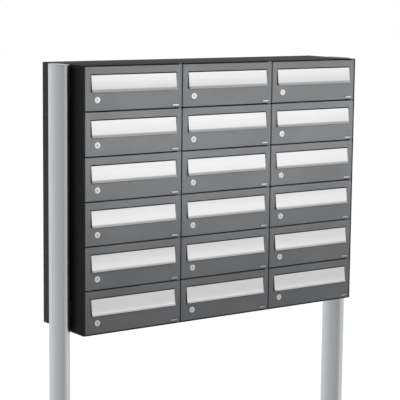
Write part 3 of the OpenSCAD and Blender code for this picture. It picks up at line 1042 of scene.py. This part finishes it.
def build_fittings():
    """Saddles between posts and casing, and the heads of their bolts inside the casing."""
    heights = (first.z - pitch_z / 2, first.z - (rows - 0.5) * pitch_z)
    reach = math.degrees(math.asin(SADDLE_HALF / post_side_r))
    hollow = arc((post_half - post_side_r, 0), post_side_r + RUN, reach, -reach, 16)
    face_x = post_half + POST_GAP
    outline = [(face_x, -SADDLE_HALF), (face_x, SADDLE_HALF), *hollow]
    for side, name in ((-1, "left"), (1, "right")):
        for level, z in zip(("upper", "lower"), heights):
            block = prism(outline, z - SADDLE_HALF, z + SADDLE_HALF, along_z)
            saddle = settled(block, round_edge=0.3 * MM)
            saddle.transform(Matrix.Rotation(math.pi if side > 0 else 0, 4, "Z"))
            saddle.transform(Matrix.Translation((side * post_x, post_y, 0)))
            show(f"{name}_{level}_saddle", saddle, PLATE_METAL, "cabinet")
    head = [(0, 0), (BOLT_HEAD_R - 0.4 * MM, 0), (BOLT_HEAD_R, 0.5 * MM),
            (BOLT_HEAD_R, BOLT_HEAD_H - 0.8 * MM), (BOLT_HEAD_R - 0.9 * MM, BOLT_HEAD_H),
            (3 * MM, BOLT_HEAD_H), (3 * MM, 2.6 * MM), (0, 2.6 * MM)]
    for side, name in ((-1, "left"), (1, "right")):
        turn = Matrix.Rotation(math.pi if side > 0 else 0, 3, "Z")
        parts = []
        for z in heights:
            for y in (-BOLT_HALF, BOLT_HALF):
                bolt = lathe(head, Vector((0, 0, 0)), 24, place=along_x)
                bmesh.ops.rotate(bolt, verts=bolt.verts, cent=(0, 0, 0), matrix=turn)
                x = side * (casing_high.x - SHEET)
                bmesh.ops.translate(bolt, verts=bolt.verts, vec=(x, post_y + y, z))
                parts.append(bolt)
        stands_for = ("fasteners",) if side < 0 else ()
        bolts = settled(join(*parts))
        show(f"{name}_saddle_bolts", bolts, STAINLESS, "cabinet", stands_for)


# ---------------------------------------------------------------- studio


CAMERA_PLACE = (-3.109, -4.2895, 1.863)
CAMERA_YAW = math.radians(35.74)
CAMERA_DIP = math.radians(8.22)
CAMERA_ROLL = math.radians(0.62)
CAMERA_LENS = 133.7

# Brightness of the room: everywhere, behind, to the front right high and low, taken off overhead
ROOM = 0.43
ROOM_BEHIND = 0.46
ROOM_AHEAD = 0.06
ROOM_AHEAD_LOW = 0.3
ROOM_OVERHEAD = 0.1
PAPER = 0.36
PAPER_GLOW = 0.85


def build_camera():
    data = bpy.data.cameras.new("camera")
    data.sensor_width = 36.0
    data.lens = CAMERA_LENS
    data.clip_end = 200.0
    camera = bpy.data.objects.new("camera", data)
    bpy.context.scene.collection.objects.link(camera)
    aim = Matrix.Rotation(-CAMERA_YAW, 4, "Z") @ Matrix.Rotation(math.pi / 2 - CAMERA_DIP, 4, "X")
    camera.matrix_world = Matrix.Translation(CAMERA_PLACE) @ aim @ Matrix.Rotation(CAMERA_ROLL, 4, "Z")
    bpy.context.scene.camera = camera


def soft_box(name, place, aim, width, height, power, spread=180, mirrored=True):
    """A rectangular studio light that faces a point; an unmirrored one only lights matt surfaces."""
    data = bpy.data.lights.new(name, "AREA")
    data.shape = "RECTANGLE"
    data.size = width
    data.size_y = height
    data.energy = power
    data.spread = math.radians(spread)
    light = bpy.data.objects.new(name, data)
    bpy.context.scene.collection.objects.link(light)
    light.location = place
    light.rotation_euler = (Vector(aim) - Vector(place)).to_track_quat("-Z", "Y").to_euler()
    light.visible_glossy = mirrored
    light.visible_camera = False


def build_world():
    """White round the object to the eye, and a soft graded studio as a source of light."""
    world = bpy.data.worlds.new("studio")
    bpy.context.scene.world = world
    world.use_nodes = True
    tree = world.node_tree
    tree.nodes.clear()
    direction = add_node(tree, "ShaderNodeTexCoord", output="Generated")
    up = add_node(tree, "ShaderNodeSeparateXYZ", {}, {"Vector": direction}, output="Z")
    right = add_node(tree, "ShaderNodeSeparateXYZ", {}, {"Vector": direction}, output="X")
    back = add_node(tree, "ShaderNodeSeparateXYZ", {}, {"Vector": direction}, output="Y")
    behind = back.math("MAXIMUM", 0.0) ** 3
    ahead = (right * 0.77 - back * 0.64).ramp(-0.3, 0.9)
    low = 1 - up.ramp(-0.15, 0.1)
    overhead = up.ramp(0.35, 0.75)
    ahead = ahead * (low * ROOM_AHEAD_LOW + ROOM_AHEAD)
    light = ROOM + behind * ROOM_BEHIND + ahead - overhead * ROOM_OVERHEAD
    seen = add_node(tree, "ShaderNodeLightPath", output="Is Camera Ray")
    strength = seen * 1.0 + (1 - seen) * light
    shade = tree.nodes.new("ShaderNodeBackground")
    shade.inputs["Color"].default_value = (1.0, 1.0, 1.0, 1.0)
    feed(tree, strength, shade.inputs["Strength"])
    end = tree.nodes.new("ShaderNodeOutputWorld")
    tree.links.new(shade.outputs[0], end.inputs["Surface"])


def build_floor():
    """Plain pale floor, bright enough to read as white paper, that polished metal doesn't mirror."""
    bm = bmesh.new()
    bmesh.ops.create_grid(bm, x_segments=1, y_segments=1, size=30.0)
    mesh = bpy.data.meshes.new("floor")
    bm.to_mesh(mesh)
    bm.free()
    paper = bpy.data.materials.new("paper")
    paper.use_nodes = True
    tree = paper.node_tree
    shader = tree.nodes["Principled BSDF"]
    shader.inputs["Base Color"].default_value = grey(PAPER)
    shader.inputs["Roughness"].default_value = 0.9
    shader.inputs["Emission Color"].default_value = (1.0, 1.0, 1.0, 1.0)
    seen = add_node(tree, "ShaderNodeLightPath", output="Is Camera Ray")
    feed(tree, seen * PAPER_GLOW, shader.inputs["Emission Strength"])
    mesh.materials.append(paper)
    floor = bpy.data.objects.new("floor", mesh)
    floor.visible_glossy = False
    bpy.context.scene.collection.objects.link(floor)


# ---------------------------------------------------------------- assembly

build_camera()
build_world()
build_floor()
soft_box("front_panel", (1.05, -1.5, 1.65), (1.05, 0.0, 1.65), width=2.5, height=1.0, power=5.0)
soft_box("top_panel", (0.0, -1.7, 1.9), (0.0, -0.13, 1.36), width=2.2, height=0.4, power=3.9,
         spread=44, mirrored=False)
bpy.context.scene.view_settings.view_transform = "Standard"

build_casing()
build_rivets()
build_inside()
build_hinges()
build_keeps()
build_posts()
build_fittings()
for_every_box("door_panel", door_panel(), DOOR_PAINT, "door", "door")
for_every_box("flap_pin", pin_and_brackets(), ZINC, "door")
for_every_box("lock_housing", lock_housing(), LOCK_METAL, "door")
for_every_box("lock_nut", lock_nut(), ZINC, "door")
for_every_box("buffers", rubber_buffers(), RUBBER, "door")
for_every_box("plate_holder", plate_holder(), HOLDER_PLASTIC, "door")
for_every_box("plate_insert", plate_insert(), BLANK_PLASTIC, "door")
for_every_box("flap_panel", flap_panel(), FLAP_METAL, "flap", "flap")
for_every_box("lock_plug", lock_plug(), PLUG_METAL, "lock", "lock")
for_every_box("lock_cam", lock_cam(), ZINC, "lock")
for_every_box("cam_screw", cam_screw(), STAINLESS, "lock")

bpy.context.view_layer.update()
